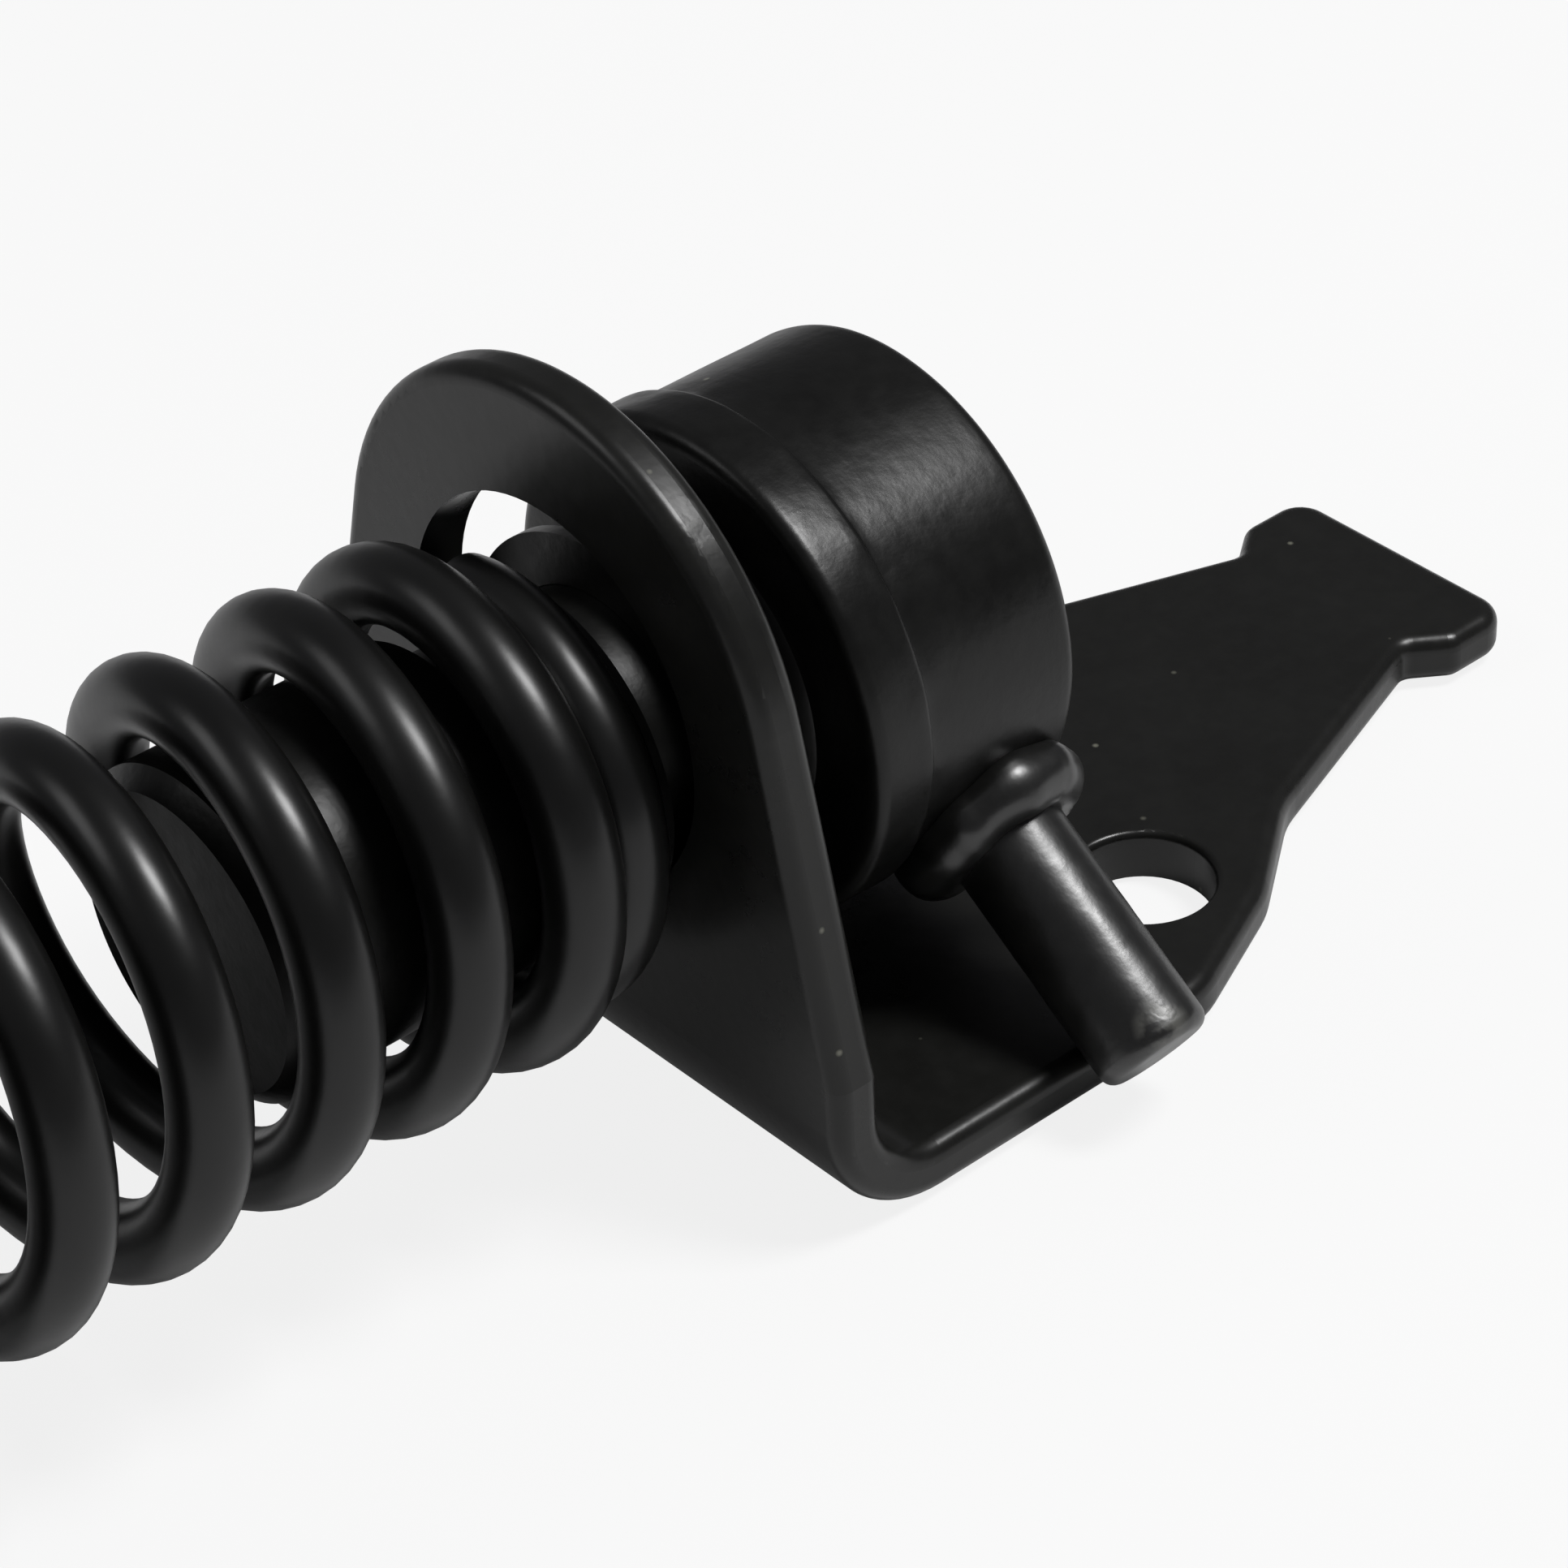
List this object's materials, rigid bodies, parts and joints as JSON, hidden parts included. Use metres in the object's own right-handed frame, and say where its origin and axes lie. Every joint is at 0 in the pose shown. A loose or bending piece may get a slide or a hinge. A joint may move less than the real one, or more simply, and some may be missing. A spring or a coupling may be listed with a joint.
{
  "type": "gate spring closer",
  "caption": "Torsion spring gate closer: open coil between two bent angle brackets, each with a barrel and a pin that bears on its plate.",
  "frame": {"origin": "on the screwed faces of the two plates, midway between the two ears and under the spring's axis", "axes": "+X along the spring from the adjuster end to the stop end, +Z away from the screwed faces, +Y to the side the tension pin points to"},
  "size_m": [0.3432, 0.0622, 0.0505],
  "materials": {
    "black_powder_coat": "satin black powder coat",
    "black_spring_wire": "satin black coated spring steel",
    "black_weld": "coated weld bead"
  },
  "bodies": {
    "stop_bracket": {"stop_bracket": "black_powder_coat"},
    "stop_barrel_unit": {"stop_barrel": "black_powder_coat", "stop_hub": "black_powder_coat", "stop_roll_pin": "black_powder_coat", "stop_inner_washer": "black_powder_coat", "stop_outer_washer": "black_powder_coat", "stop_end_cap": "black_powder_coat", "stop_spring_weld": "black_weld", "stop_pin": "black_powder_coat", "stop_pin_weld": "black_weld", "torsion_spring": "black_spring_wire"},
    "adjuster_barrel_unit": {"adjuster_barrel": "black_powder_coat", "adjuster_hub": "black_powder_coat", "adjuster_roll_pin": "black_powder_coat", "adjuster_inner_washer": "black_powder_coat", "adjuster_outer_washer": "black_powder_coat", "adjuster_end_cap": "black_powder_coat", "adjuster_spring_weld": "black_weld"},
    "tension_pin": {"tension_pin": "black_powder_coat"},
    "adjuster_bracket": {"adjuster_bracket": "black_powder_coat"}
  },
  "joints": [
    {"name": "stop_barrel_turn", "type": "hinge", "parent": "stop_bracket", "child": "stop_barrel_unit", "pos_m": [0.095, 0, 0.02526], "axis": [1, 0, 0], "range_deg": [-240, 0]},
    {"name": "spring_twist", "type": "hinge", "parent": "stop_barrel_unit", "child": "adjuster_barrel_unit", "pos_m": [0, 0, 0.02526], "axis": [1, 0, 0], "range_deg": [0, 200], "stiffness_Nm_per_rad": 3.37, "deforming": ["torsion_spring"]},
    {"name": "adjuster_bracket_swing", "type": "hinge", "parent": "adjuster_barrel_unit", "child": "adjuster_bracket", "pos_m": [-0.095, 0, 0.02526], "axis": [1, 0, 0], "range_deg": [-240, 0]},
    {"name": "tension_pin_slide", "type": "slide", "parent": "adjuster_barrel_unit", "child": "tension_pin", "axis": [0, 0.8222, -0.5692], "range_m": [0, 0.012]}
  ]
}
